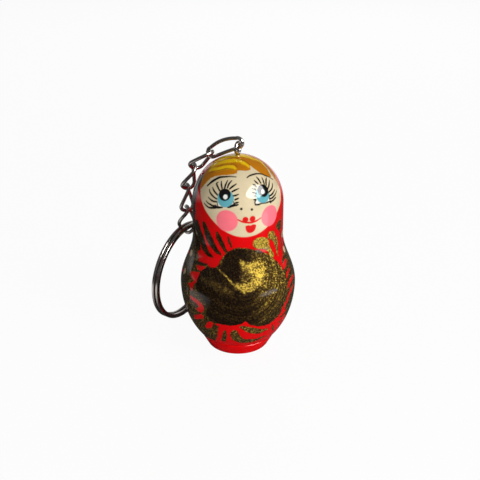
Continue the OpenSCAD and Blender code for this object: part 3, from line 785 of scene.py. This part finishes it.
def paintSides(coat, skin):
    z, wander = skin["height"], skin["wander"]
    turn = skin["angle"] % 360
    around = (180 - sides["backFrom"] - np.abs(turn - 180)) * np.radians(1) * skin["radius"]
    top = sides["high"] + sides["scallop"] * np.cos(np.radians(turn) * sides["scallops"]) - z
    inside = np.minimum(np.minimum(around, top), z - sides["low"])
    gild(coat, share(sides["backWaver"] * wander - inside, sides["backSoft"]), sides["backLevel"])
    for points, level in sides["fields"]:
        gild(coat, share(patch(skin, points) + sides["fieldWaver"] * wander), level)
    tip = sides["backRedTip"]
    for at in sides["backTurns"]:
        for height, half in sides["backReds"]:
            path = [(at + right, height + up) for right, up in sides["backRedPath"]]
            shoulder = sides["backRedShoulder"] * half
            away = stroke(skin, path, [tip, shoulder, half, shoulder, tip])
            wipe(coat, share(away + sides["backRedWaver"] * wander))
    for points in sides["redPatches"]:
        wipe(coat, share(patch(skin, points) + sides["redWaver"] * wander))
    for points, widths in sides["redStrokes"]:
        wipe(coat, share(stroke(skin, points, widths) + sides["redWaver"] * wander))
    for points, widths, level in leaves["low"]:
        gild(coat, share(stroke(skin, points, widths) + brush["waver"] * wander), level)
    backDots = [((at, height), *sides["backDotSize"])
                for at in sides["backDots"] for height in sides["backDotHeights"]]
    for centre, wide, high in backDots + sides["dots"]:
        lay(coat, "dots", share(spot(skin, centre, wide, high)))


# Streaks around the rose: fine waves of the distance from its middle, bent a little with the
# direction, half and half with broad ones that wind around it three times
def roseStreaks(skin):
    u = np.radians(turnBetween(skin["angle"], rose["middle"][0])) * skin["radius"]
    v = skin["length"] - lengthAt(rose["middle"][1])
    far, way = np.hypot(u, v), np.arctan2(v, u)
    bend = rose["bend"] * np.sin(2 * way + rose["bendStart"])
    fine = np.sin(2 * np.pi * far / rose["pitch"] + bend + rose["streakWaver"] * skin["wander"])
    broad = np.sin(2 * np.pi * far / (rose["broadPitch"] * rose["pitch"]) + 3 * way + rose["broadStart"])
    return 0.5 * fine + 0.5 * broad


def paintBody(coat, skin, withSides):
    wander = skin["wander"]
    if withSides:
        paintSides(coat, skin)
    for points, widths, level in leaves["neck"]:
        gild(coat, share(stroke(skin, points, widths) + brush["waver"] * wander), level)
    for points, level in commas:
        gild(coat, share(patch(skin, points) + brush["waver"] * wander), level)
    petal = share(patch(skin, rose["outline"]) + rose["waver"] * wander)
    toRight = smooth((skin["angle"] - rose["rightFrom"]) / rose["rightOver"])
    upper = smooth((skin["height"] - rose["upperFrom"]) / rose["upperOver"])
    level = rose["least"] + toRight * (rose["right"] + rose["upperRight"] * upper)
    gild(coat, petal, level + (rose["streaks"] + rose["rightStreaks"] * toRight) * roseStreaks(skin))
    for shape, name, waver, soft, level, within in roseWashes:
        away = patch(skin, rose[name]) if shape is patch else shape(skin, *rose[name])
        gild(coat, share(away + waver * wander, soft) * (petal if within else 1), level)


paintLayers = ["face", "hair", "hairLight", "hairDark", "blush", "iris", "ink", "white", "lip",
               "bronze", "gilt", "dots"]
paintLimits = {"overPlinth": 0.4, "overParting": 0.01}


def paintSkin(profile, angles, size, withSides):
    skin = skinPlace(profile, angles, size)
    coat = {layer: np.zeros(len(skin["angle"])) for layer in paintLayers}
    paintBody(coat, skin, withSides)
    for layer in paintLayers:
        # the plinth stays plain red
        coat[layer][skin["height"] < dollForm["plinthH"] + paintLimits["overPlinth"]] = 0
    if profile[:, 1].max() > size[1] + size[0] * dollForm["partZ"] + paintLimits["overParting"]:
        paintFace(coat, skin)
    return coat


# Spacing of the rows in millimetres, and the fan of columns: half of the fine front, fine and
# coarse steps, all in degrees
grids = {
    "outer_lower": {"step": 0.18, "fan": (95, 0.62, 1.5)},
    "outer_upper": {"step": 0.26, "faceStep": 0.165, "fan": (70, 0.62, 1.7)},
    "middle_lower": {"step": 0.26, "fan": (70, 1.0, 2.2)},
    "middle_upper": {"step": 0.34, "faceStep": 0.26, "fan": (70, 0.9, 2.2)},
    "inner_doll": {"step": 0.36, "faceStep": 0.3, "fan": (70, 1.0, 2.4)},
    "faceLow": 39, "faceHigh": 58,
}
outerLook = {"finish": outerLacquer, "slot": "red_lacquer", "withSides": True}
nestedLook = {"finish": nestedLacquer, "slot": "nested_lacquer", "withSides": False}


# Skin from a height to the top, with finer rows over the face
def faceRows(node, low, top):
    grid, faceLow, faceHigh = grids[node], grids["faceLow"], grids["faceHigh"]
    return np.concatenate([skinPoints(low, faceLow, grid["step"]),
                           skinPoints(faceLow, faceHigh, grid["faceStep"])[1:],
                           skinPoints(faceHigh, top, grid["step"])[1:]])


# Puts a turned piece together: rings, paint on the painted rows, bare wood on the rest
def turnedPiece(node, profile, poles, firstPainted, lastPainted, size, look):
    name, angles = node + "_painted", fanAngles(*grids[node]["fan"])
    piece = gridMesh(name, turnedRings(profile, angles), np.array([[0, 0, z] for z in poles], float))
    columns, rows = len(angles), len(profile)
    coat = paintSkin(profile[firstPainted:lastPainted], angles, size, look["withSides"])
    for layer in paintLayers:
        values = np.zeros(rows * columns + 2)
        values[firstPainted * columns:lastPainted * columns] = coat[layer]
        pointValues(piece, layer, values)
    piece.data.materials.append(look["finish"])
    piece.data.materials.append(linden)
    row = np.arange(rows - 1)
    bare = np.repeat((row < firstPainted) | (row >= lastPainted - 1), columns)
    ends = np.repeat([firstPainted > 0, lastPainted < rows], columns)
    piece.data.polygons.foreach_set("material_index", np.concatenate([bare, ends]).astype(np.int32))
    print(name, "made:", rows, "rows of", columns)
    return piece


# The crown's last fan is painted like the ring below it
def paintTip(piece):
    tip = len(piece.data.vertices) - 1
    for layer in paintLayers:
        data = piece.data.attributes[layer].data
        data[tip].value = data[tip - 2].value


def lowerHalf(node, size, inside, fit, look):
    profile, paintedCount, floor = lowerProfile(size, inside, fit, grids[node]["step"])
    piece = turnedPiece(node, profile, (size[1], floor), 0, paintedCount, size, look)
    handOver(piece, node, node)


# An upper half with a pilot hole ends at the hole's edge and floor, one without it in a point
def upperHalf(node, size, inside, fit, look):
    d = dollForm
    top, poleTop, hole = d["height"], size[1] + size[0] * d["height"], np.empty((0, 2))
    if "pilotR" in fit:
        top = domeZ + d["domeH"] * math.sqrt(1 - (fit["pilotR"] / d["headR"]) ** 2)
        poleTop, hole = fit["pilotFloor"], np.array([[fit["pilotR"], fit["pilotFloor"]]])
    rows = faceRows(node, d["partZ"], top)
    inner, outer, hollowTop = upperProfile(size, inside, fit, rows if len(hole) else rows[:-1])
    profile, paintedTo = np.concatenate([inner, outer, hole]), len(inner) + len(outer)
    piece = turnedPiece(node, profile, (hollowTop, poleTop), len(inner), paintedTo, size, look)
    if not len(hole):
        paintTip(piece)
    handOver(piece, node, node)


outerSize = (1.0, 0.0)
middleBox = [v / mm for v in (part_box("middle_lower")[0].z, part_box("middle_upper")[1].z)]
innerBox = [v / mm for v in (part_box("inner_doll")[0].z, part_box("inner_doll")[1].z)]
middleSize = ((middleBox[1] - middleBox[0]) / dollForm["height"], middleBox[0])
innerSize = ((innerBox[1] - innerBox[0]) / dollForm["height"], innerBox[0])

lowerHalf("outer_lower", outerSize, middleSize, outerFit, outerLook)
upperHalf("outer_upper", outerSize, middleSize, outerFit, outerLook)
lowerHalf("middle_lower", middleSize, innerSize, middleFit, nestedLook)
upperHalf("middle_upper", middleSize, innerSize, middleFit, nestedLook)


def innerDoll(node, size, look):
    d = dollForm
    skin = faceRows(node, d["plinthH"] + d["groove"], d["height"])[:-1]
    profile = scaled(np.concatenate([footPoints(), skin]), size)
    poles = size[1], size[1] + size[0] * d["height"]
    piece = turnedPiece(node, profile, poles, 0, len(profile), size, look)
    paintTip(piece)
    handOver(piece, node, node)


innerDoll("inner_doll", innerSize, nestedLook)


# Wire pieces

# A section carried along a path: ring i stands at path point i on the directions u and v
def wireRings(path, u, v, section):
    return path[:, None] + section[None, :, :1] * u[:, None] + section[None, :, 1:] * v[:, None]


def roundSection(radius, sides):
    t = np.linspace(0, 2 * np.pi, sides, endpoint=False)
    return radius * np.stack([np.cos(t), np.sin(t)], -1)


def unit(v):
    return v / np.linalg.norm(v, axis=-1, keepdims=True)


# The direction nearest to v that stands square to the wire
def squareTo(along, v):
    return unit(v - (v * along).sum(-1, keepdims=True) * along)


def finishWire(piece, node, body, rubbed):
    pointValues(piece, "rubbed", rubbed)
    piece.data.materials.append(darkNickel)
    handOver(piece, node, body)


chain = {"wire": 1.1, "sides": 20, "arcSteps": 26, "runSteps": 18, "rubLength": 0.9, "loopEndR": 1.4,
         "loopRun": 8.8, "loopBow": 0.8, "loopDip": 0.1, "loopTurn": 90, "linkEndR": 2.31, "linkReach": 4.15,
         "hook": 0.65, "headTurns": [0, -45, -45, -45], "tailTurns": [45, 45, 45, 120],
         "joints": ["loop_on_eye", "link_1_on_loop", "link_2_on_link_1", "link_3_on_link_2",
                    "link_4_on_link_3", "ring_on_link_4"]}


# Outline of a link in its plane: two half circles joined by runs that bow as a parabola
def linkOutline(half, endR, bow, dip):
    t = np.radians(np.linspace(-90, 90, chain["arcSteps"] + 1))
    s = np.linspace(1, -1, chain["runSteps"] + 1)[1:-1]
    return np.concatenate([
        np.stack([half + endR * np.cos(t), endR * np.sin(t)], -1),
        np.stack([half * s, endR + bow * (1 - s * s)], -1),
        np.stack([-half - endR * np.cos(t), -endR * np.sin(t)], -1),
        np.stack([-half * s, -endR + dip * (1 - s * s)], -1)])


# The outline twisted evenly about its long axis from head to tail, then laid on the
# line from one seat to the next
def wireLink(name, node, outline, reach, head, tail, shift, seat, nextSeat):
    turns = np.radians(head + (tail - head) * (outline[:, 0] + reach) / (2 * reach))
    path = np.stack([outline[:, 0], outline[:, 1] * np.cos(turns), outline[:, 1] * np.sin(turns)], -1)
    along = unit(np.roll(path, -1, 0) - np.roll(path, 1, 0))
    flat = np.stack([0 * turns, -np.sin(turns), np.cos(turns)], -1)
    u = squareTo(along, flat)
    rings = wireRings(path, u, np.cross(along, u), roundSection(chain["wire"] / 2, chain["sides"]))
    down = unit(nextSeat - seat)
    across = unit(np.cross([0, 0, 1.0], down))
    axes = np.stack([down, across, np.cross(down, across)])
    piece = gridMesh(name, (rings + [shift, 0, 0]) @ axes + seat)
    ends = np.abs(outline[:, 0]) > reach - chain["rubLength"]
    finishWire(piece, node, node, np.repeat(ends.astype(float), chain["sides"]))


places = [seats[name] for name in chain["joints"]]
loopHalf, linkReach = chain["loopRun"] / 2, chain["linkReach"]
loopOutline = linkOutline(loopHalf, chain["loopEndR"], chain["loopBow"], chain["loopDip"])
curbOutline = linkOutline(linkReach - chain["linkEndR"], chain["linkEndR"], 0, 0)
wireLink("loop_wire", "oval_loop", loopOutline, loopHalf + chain["loopEndR"], chain["loopTurn"],
         chain["loopTurn"], loopHalf, places[0], places[1])
for k, (head, tail) in enumerate(zip(chain["headTurns"], chain["tailTurns"]), 1):
    wireLink(f"link_{k}_wire", f"chain_link_{k}", curbOutline, linkReach, head, tail,
             linkReach - chain["hook"], places[k], places[k + 1])

splitRing = {"wireW": 1.4, "wireT": 0.9, "gap": 0.42, "middleR": 14.8, "stepArc": 34, "endArc": 4,
             "lean": 5.0, "steps": 420, "cornerR": 0.25, "cornerSteps": 5, "drape": 136.0, "sharpAt": 50}


# Flat wire with rounded corners wound in two turns, the first easing over to the second within
# the step's arc: its rings and its middle line
def windRing():
    p = splitRing
    wound = 720 - p["stepArc"] - 2 * p["endArc"]
    a = np.linspace(0, wound, p["steps"])
    offset = (p["wireT"] + p["gap"]) * (smooth((a - (360 - p["stepArc"] - p["endArc"])) / p["stepArc"]) - 0.5)
    turn = np.radians(a + 180 + p["endArc"])
    out = np.stack([0 * turn, np.cos(turn), np.sin(turn)], -1)
    path = p["middleR"] * out + offset[:, None] * [1, 0, 0]
    along = unit(np.gradient(path, axis=0))
    u = squareTo(along, out)
    corner = np.radians(np.linspace(0, 90, p["cornerSteps"]))
    quarter = np.stack([p["wireW"] / 2 - p["cornerR"] + p["cornerR"] * np.cos(corner),
                        p["wireT"] / 2 - p["cornerR"] + p["cornerR"] * np.sin(corner)], -1)
    section = np.concatenate([quarter, quarter[::-1] * [-1, 1], quarter * [-1, -1], quarter[::-1] * [1, -1]])
    return wireRings(path, u, np.cross(along, u), section), path


def makeRing():
    p = splitRing
    rings, path = windRing()
    azimuth, lean = np.radians(p["drape"]), np.radians(p["lean"])
    # local axes: x away from the doll, y level, z up; the ring hangs by its top and leans outwards
    away, up = np.array([np.cos(azimuth), np.sin(azimuth), 0]), np.array([0, 0, 1.0])
    level = np.cross(up, away)
    axes = np.stack([away * np.cos(lean) + up * np.sin(lean), level, up * np.cos(lean) - away * np.sin(lean)])
    place = places[-1] - p["middleR"] * axes[2]
    poles = np.stack([path[0], path[-1]]) @ axes + place
    piece = gridMesh("split_ring_wire", rings @ axes + place, poles, p["sharpAt"])
    finishWire(piece, "split_ring", "split_ring", np.zeros(len(piece.data.vertices)))


makeRing()

screwEye = {"wire": 1.1, "ringR": 1.5, "ringZ": 62.15, "shankD": 1.3, "tipZ": 53.0, "threadTop": 59.2,
            "threadPitch": 0.6, "threadDepth": 0.06, "drape": 146.0, "sweep": 352, "sides": 20,
            "shankRows": 150, "ringRows": 90, "rowGaps": (0.02, 0.05), "tipShare": 0.03, "sharpAt": 50}


# One wire: a threaded shank that rises from its point, then a circle across the chain
def makeEye():
    p = screwEye
    azimuth = np.radians(p["drape"])
    level = np.array([-np.sin(azimuth), np.cos(azimuth), 0])
    up = np.array([0, 0, 1.0])
    tipGap, ringGap = p["rowGaps"]
    rise = np.linspace(p["tipZ"] + tipGap, p["ringZ"] - p["ringR"] - ringGap, p["shankRows"])
    turn = np.radians(np.linspace(-90, -90 + p["sweep"], p["ringRows"]))
    bow = p["ringZ"] * up + p["ringR"] * (np.cos(turn)[:, None] * level + np.sin(turn)[:, None] * up)
    path = np.concatenate([rise[:, None] * up, bow[1:]])
    side = np.cross(level, up)
    along = np.concatenate([np.tile(up, (len(rise), 1)),
                            (-np.sin(turn)[:, None] * level + np.cos(turn)[:, None] * up)[1:]])
    u = np.tile(side, (len(path), 1))
    v = np.cross(along, u)
    t = np.linspace(0, 2 * np.pi, p["sides"], endpoint=False)
    height, onShank = path[:, 2:], np.arange(len(path))[:, None] < len(rise)
    taper = np.clip((height - p["tipZ"]) / p["shankD"], p["tipShare"], 1)
    cut = np.cos(t - 2 * np.pi * height / p["threadPitch"]) - 1
    thread = p["threadDepth"] * cut * (height < p["threadTop"])
    radius = np.where(onShank, p["shankD"] / 2 * taper + thread * taper, p["wire"] / 2)
    outwards = np.cos(t)[None, :, None] * u[:, None] + np.sin(t)[None, :, None] * v[:, None]
    rings = path[:, None] + radius[..., None] * outwards
    piece = gridMesh("screw_eye_wire", rings, np.stack([p["tipZ"] * up, path[-1]]), p["sharpAt"])
    rubbed = np.concatenate([np.zeros(len(rise)), smooth((bow[1:, 2] - p["ringZ"]) / p["ringR"])])
    rubbed = np.concatenate([np.repeat(rubbed, p["sides"]), [0, 0]])
    finishWire(piece, "screw_eye", "outer_upper", rubbed)


makeEye()
print("wire pieces made")


# Studio

studio = {"floorHalf": 1.5, "floorSeen": (0.92, 0.92, 0.92, 1), "floorColour": (0.80, 0.80, 0.80, 1),
          "floorBefore": (0.12, 0.12, 0.12, 1), "floorGlow": 0.94, "floorRough": 0.9,
          "floorBehind": (0.12, 0.2), "ambient": (0.11, 0.11, 0.113, 1), "backdrop": (0.96, 0.96, 0.96, 1),
          "worldBehind": (0.80, 0.18), "middleHeight": 0.030,
          "whiteSpot": (-0.070, 0.0, 0), "whiteSpotR": 0.038, "whiteSpotEdge": 0.020}
# Turn and lift in degrees, distance, width and height in metres, watts, and whether the lamp is
# mirrored in the doll or lights it
lamps = {
    "key": (38, 32, 0.6, 0.26, 0.20, 1.4, False),
    "front": (8, 13, 0.6, 0.34, 0.34, 2.0, False),
    "top": (60, 70, 0.6, 0.30, 0.30, 0.4, False),
    "back": (160, 30, 0.7, 0.40, 0.40, 1.3, False),
    "window": (40, 31, 0.6, 0.54, 0.29, 7.1, True),
    "card": (46.8, -12.5, 0.116, 0.075, 0.024, 0.013, True),
}


# Direction from the doll: degrees to the right of its front, degrees above level
def direction(turn, lift):
    t, l = math.radians(turn), math.radians(lift)
    return Vector((math.sin(t) * math.cos(l), -math.cos(t) * math.cos(l), math.sin(l)))


def addLamp(name, turn, lift, away, wide, high, power, mirrored):
    light = bpy.data.lights.new(name, "AREA")
    light.shape, light.size, light.size_y, light.energy = "ELLIPSE", wide, high, power
    lamp = addObject(name, light)
    lamp.location = Vector((0, 0, studio["middleHeight"])) + direction(turn, lift) * away
    lamp.rotation_mode = "QUATERNION"
    lamp.rotation_quaternion = (-direction(turn, lift)).to_track_quat("-Z", "Y")
    lamp.visible_camera, lamp.visible_diffuse, lamp.visible_glossy = False, not mirrored, mirrored


# Share of white backdrop: all of it for the camera, for mirrored rays only what lies behind the doll
def backdropShare(tree, place, start, length):
    ray = addNode(tree, "ShaderNodeLightPath").outputs
    split = addNode(tree, "ShaderNodeSeparateXYZ")
    plug(tree, place, split.inputs[0])
    behind = maths(tree, "DIVIDE", maths(tree, "SUBTRACT", split.outputs[1], start), length, True)
    mirrored = maths(tree, "MAXIMUM", ray["Is Glossy Ray"], ray["Is Transmission Ray"])
    return maths(tree, "MAXIMUM", ray["Is Camera Ray"], maths(tree, "MULTIPLY", mirrored, behind))


def addFloor():
    half = studio["floorHalf"]
    mesh = bpy.data.meshes.new("floor")
    corners = [(-half, -half, 0), (half, -half, 0), (half, half, 0), (-half, half, 0)]
    mesh.from_pydata(corners, [], [(0, 1, 2, 3)])
    floor = addObject("floor", mesh)
    material, tree, shader = newMaterial("pale floor")
    place = objectPlace(tree)
    seen = backdropShare(tree, place, *studio["floorBehind"])
    glossy = addNode(tree, "ShaderNodeLightPath").outputs["Is Glossy Ray"]
    # a white spot beside the ring that only mirrored rays see
    apart = addNode(tree, "ShaderNodeVectorMath", operation="DISTANCE")
    plug(tree, place, apart.inputs[0])
    apart.inputs[1].default_value = studio["whiteSpot"]
    inside = maths(tree, "SUBTRACT", studio["whiteSpotR"], apart.outputs["Value"])
    white = maths(tree, "DIVIDE", inside, studio["whiteSpotEdge"], True)
    seen = maths(tree, "MAXIMUM", seen, maths(tree, "MULTIPLY", white, glossy))
    colour = mixColour(tree, glossy, studio["floorColour"], studio["floorBefore"])
    plug(tree, mixColour(tree, seen, colour, studio["floorSeen"]), shader.inputs["Base Color"])
    shader.inputs["Roughness"].default_value = studio["floorRough"]
    shader.inputs["Specular IOR Level"].default_value = 0.0
    glow = addNode(tree, "ShaderNodeEmission")
    glow.inputs["Strength"].default_value = 1.0
    mix = addNode(tree, "ShaderNodeMixShader")
    plug(tree, maths(tree, "MULTIPLY", seen, studio["floorGlow"]), mix.inputs[0])
    plug(tree, shader.outputs[0], mix.inputs[1])
    plug(tree, glow.outputs[0], mix.inputs[2])
    plug(tree, mix.outputs[0], tree.nodes["Material Output"].inputs[0])
    mesh.materials.append(material)


def addWorld():
    world = bpy.data.worlds.new("studio")
    bpy.context.scene.world = world
    world.use_nodes = True
    tree = world.node_tree
    place = addNode(tree, "ShaderNodeTexCoord").outputs["Generated"]
    seen = backdropShare(tree, place, *studio["worldBehind"])
    colour = mixColour(tree, seen, studio["ambient"], studio["backdrop"])
    plug(tree, colour, tree.nodes["Background"].inputs["Color"])


# The aim is shifted by pixels of a picture in which the lens is 937 pixels long
view = {"turn": -12, "lift": 24, "away": 0.280, "target": (0, 0, 0.028), "lens": 70.28, "sensor": 36,
        "clipStart": 0.01, "lensPixels": 937, "aimRight": 2.1, "aimUp": 17.4}


def addCamera():
    data = bpy.data.cameras.new("camera")
    data.lens, data.sensor_width, data.clip_start = view["lens"], view["sensor"], view["clipStart"]
    camera = addObject("camera", data)
    back = direction(view["turn"], view["lift"])
    right = Vector((0, 0, 1)).cross(back).normalized()
    aimRight, aimUp = view["aimRight"] / view["lensPixels"], view["aimUp"] / view["lensPixels"]
    aim = -back + right * aimRight + back.cross(right) * aimUp
    camera.location = Vector(view["target"]) + back * view["away"]
    camera.rotation_mode = "QUATERNION"
    camera.rotation_quaternion = aim.to_track_quat("-Z", "Y")
    bpy.context.scene.camera = camera


for lampName, lampValues in lamps.items():
    addLamp(lampName, *lampValues)
addFloor()
addWorld()
addCamera()
bpy.context.scene.view_settings.view_transform = "Standard"
print("studio made")
